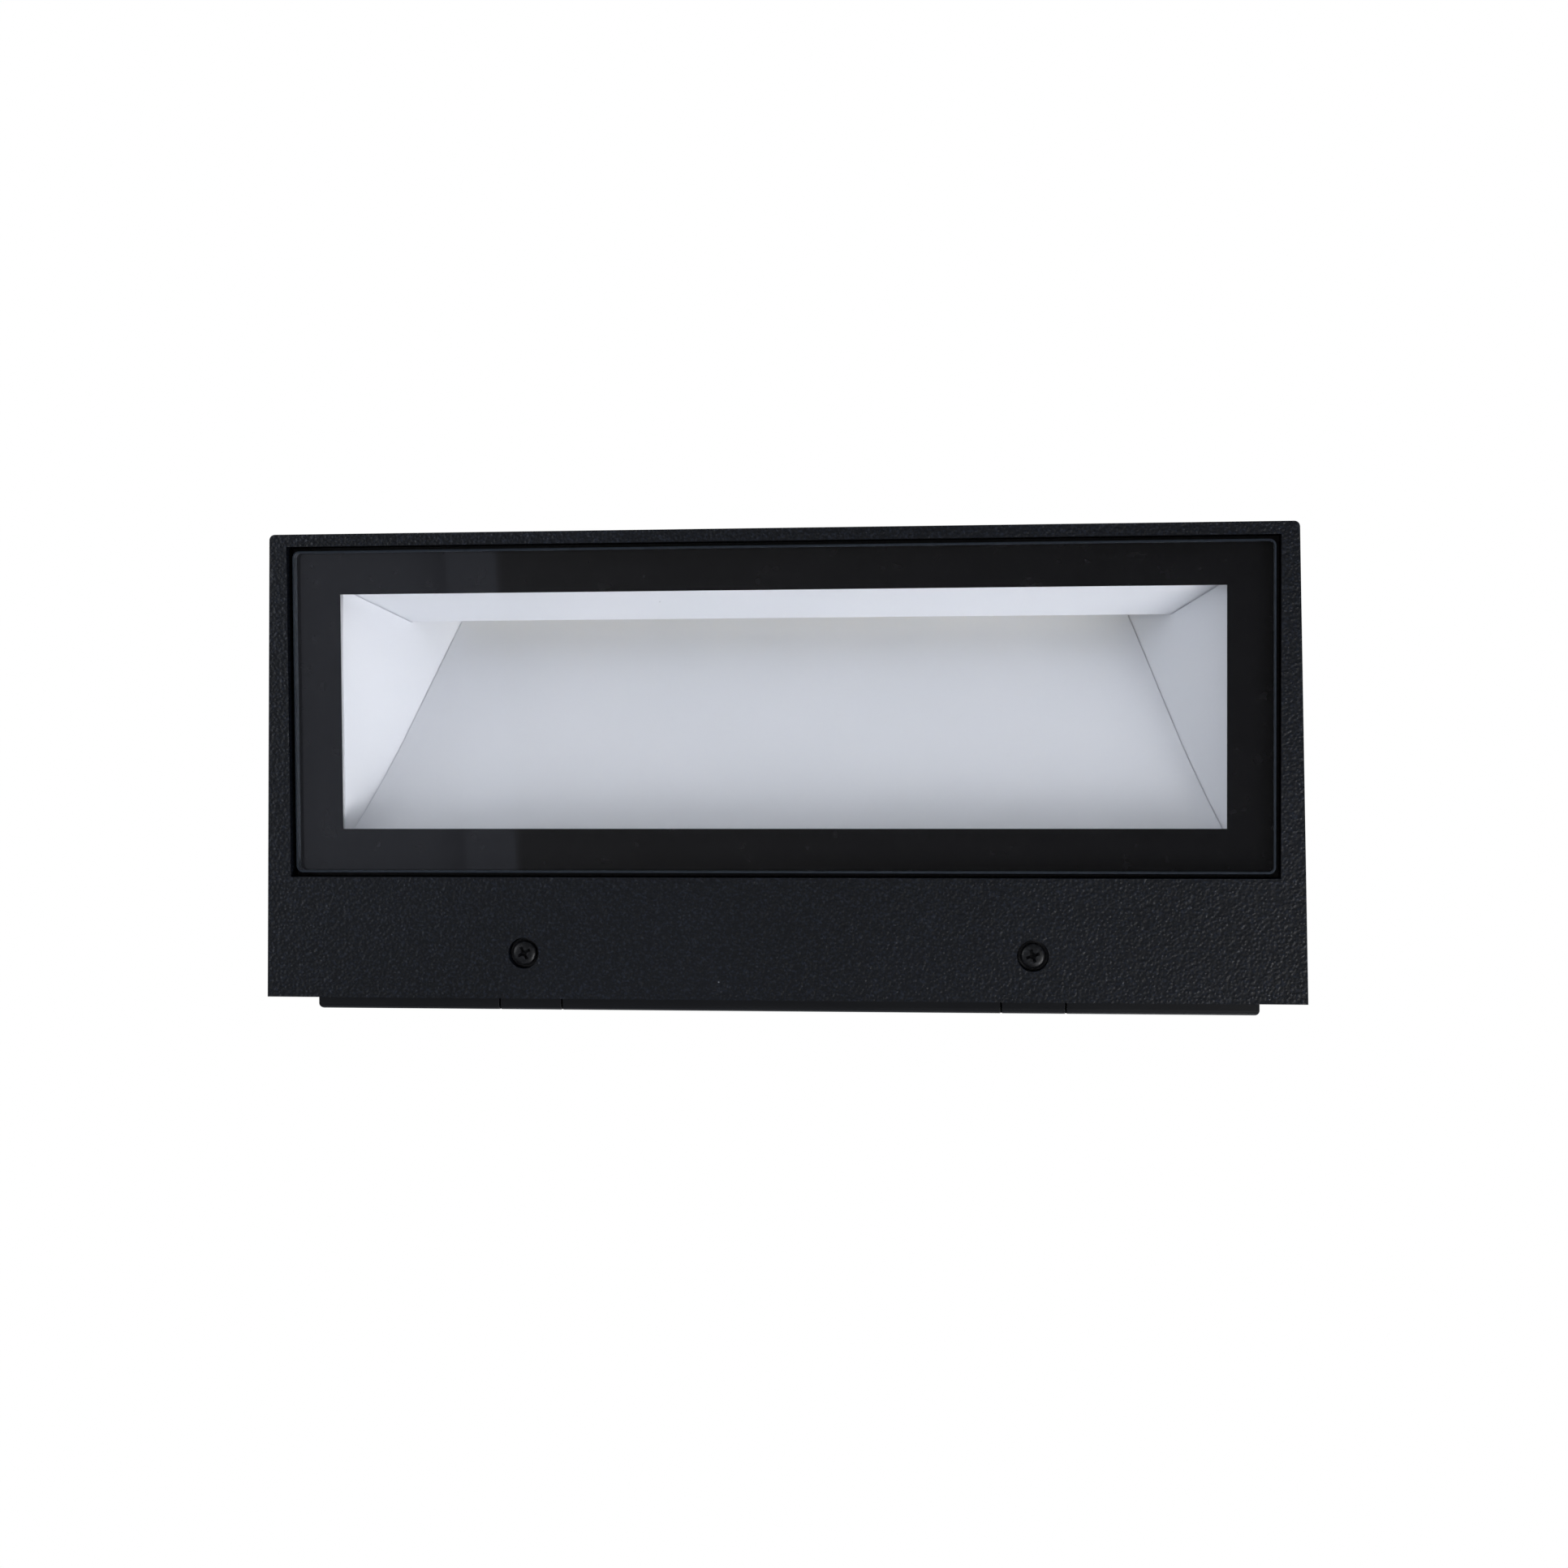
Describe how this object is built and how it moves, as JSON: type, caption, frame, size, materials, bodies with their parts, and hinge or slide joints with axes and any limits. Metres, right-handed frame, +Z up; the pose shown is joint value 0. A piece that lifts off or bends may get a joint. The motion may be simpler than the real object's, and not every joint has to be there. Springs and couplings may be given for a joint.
{
  "type": "outdoor wall luminaire",
  "caption": "Black die-cast outdoor wall light that shines down through a framed glass window; it hangs and swings on a sheet-metal wall bracket.",
  "frame": {"origin": "on the back face of the wall bracket, midway along its width and at half the housing's height", "axes": "+Z up as installed, +Y out of the bracket's back face into the wall, -Y forward, +X to the right seen from the front"},
  "size_m": [0.3, 0.1395, 0.076],
  "materials": {
    "housing_coat": "black fine-textured powder coat",
    "bracket_coat": "smooth satin black powder coat",
    "cover_cast": "plain cast, blasted",
    "clear_glass": "tempered, clear",
    "black_enamel": "ceramic print behind glass",
    "black_silicone": "matte",
    "reflector_white": "matte white coat on aluminium sheet",
    "zinc_steel": "zinc plated",
    "black_steel": "black oxide",
    "bare_aluminium": "extruded, plain",
    "pad_grey": "soft",
    "board_white": "white solder mask",
    "led_phosphor": "yellow phosphor",
    "connector_ivory": "moulded",
    "lead_red": "silicone sleeve",
    "lead_black": "silicone sleeve",
    "lead_brown": "plastic sleeve",
    "lead_blue": "plastic sleeve",
    "lead_green": "plastic sleeve",
    "driver_white": "moulded",
    "terminal_grey": "moulded",
    "plated_brass": "plain",
    "gland_black": "moulded nylon",
    "grommet_black": "moulded",
    "gasket_red": "silicone"
  },
  "bodies": {
    "bracket": {"wall_bracket": "bracket_coat", "cable_grommet": "grommet_black", "earth_washer": "plated_brass", "earth_screw": "zinc_steel"},
    "luminaire": {"housing": "housing_coat", "glass_cover": "clear_glass", "enamel_border": "black_enamel", "glass_seal": "black_silicone", "reflector_back": "reflector_white", "reflector_cheek_left": "reflector_white", "reflector_cheek_right": "reflector_white", "glare_shield": "reflector_white", "reflector_screws": "zinc_steel", "led_heat_bar": "bare_aluminium", "heat_bar_screws": "zinc_steel", "thermal_pad": "pad_grey", "led_board": "board_white", "led_chips": "led_phosphor", "led_connector": "connector_ivory", "led_board_screws": "zinc_steel", "led_lead_positive": "lead_red", "led_lead_negative": "lead_black", "driver_case": "driver_white", "driver_screws": "zinc_steel", "rear_cover": "cover_cast", "rear_cover_gasket": "gasket_red", "rear_cover_screws": "zinc_steel", "terminal_block": "terminal_grey", "terminal_clamp_screws": "plated_brass", "terminal_mount_screws": "zinc_steel", "mains_lead_live": "lead_brown", "mains_lead_neutral": "lead_blue", "mains_lead_earth": "lead_green", "gland_body": "gland_black", "gland_locknut": "gland_black", "gland_bush": "grommet_black", "gland_cap": "gland_black", "hinge_pins": "zinc_steel", "clamp_nuts": "zinc_steel"},
    "washer_left": {"screw_washer_left": "gland_black"},
    "screw_left": {"body_screw_left": "black_steel"},
    "washer_right": {"screw_washer_right": "gland_black"},
    "screw_right": {"body_screw_right": "black_steel"}
  },
  "joints": [
    {"name": "housing_swing", "type": "hinge", "parent": "bracket", "child": "luminaire", "pos_m": [0, -0.0177, 0.031], "axis": [-1, 0, 0], "range_deg": [0, 30]},
    {"name": "screw_left_travel", "type": "slide", "parent": "luminaire", "child": "washer_left", "axis": [0, 0, -1], "range_m": [0, 0.0056]},
    {"name": "screw_left_turn", "type": "hinge", "parent": "washer_left", "child": "screw_left", "pos_m": [-0.0734, -0.0177, -0.0352], "axis": [0, 0, -1], "range_deg": [0, 2880]},
    {"name": "screw_right_travel", "type": "slide", "parent": "luminaire", "child": "washer_right", "axis": [0, 0, -1], "range_m": [0, 0.0056]},
    {"name": "screw_right_turn", "type": "hinge", "parent": "washer_right", "child": "screw_right", "pos_m": [0.0734, -0.0177, -0.0352], "axis": [0, 0, -1], "range_deg": [0, 2880]}
  ],
  "couplings": [
    {"joint": "screw_left_turn", "follows": "screw_left_travel", "rad_per_m": 8976},
    {"joint": "screw_right_turn", "follows": "screw_right_travel", "rad_per_m": 8976}
  ]
}
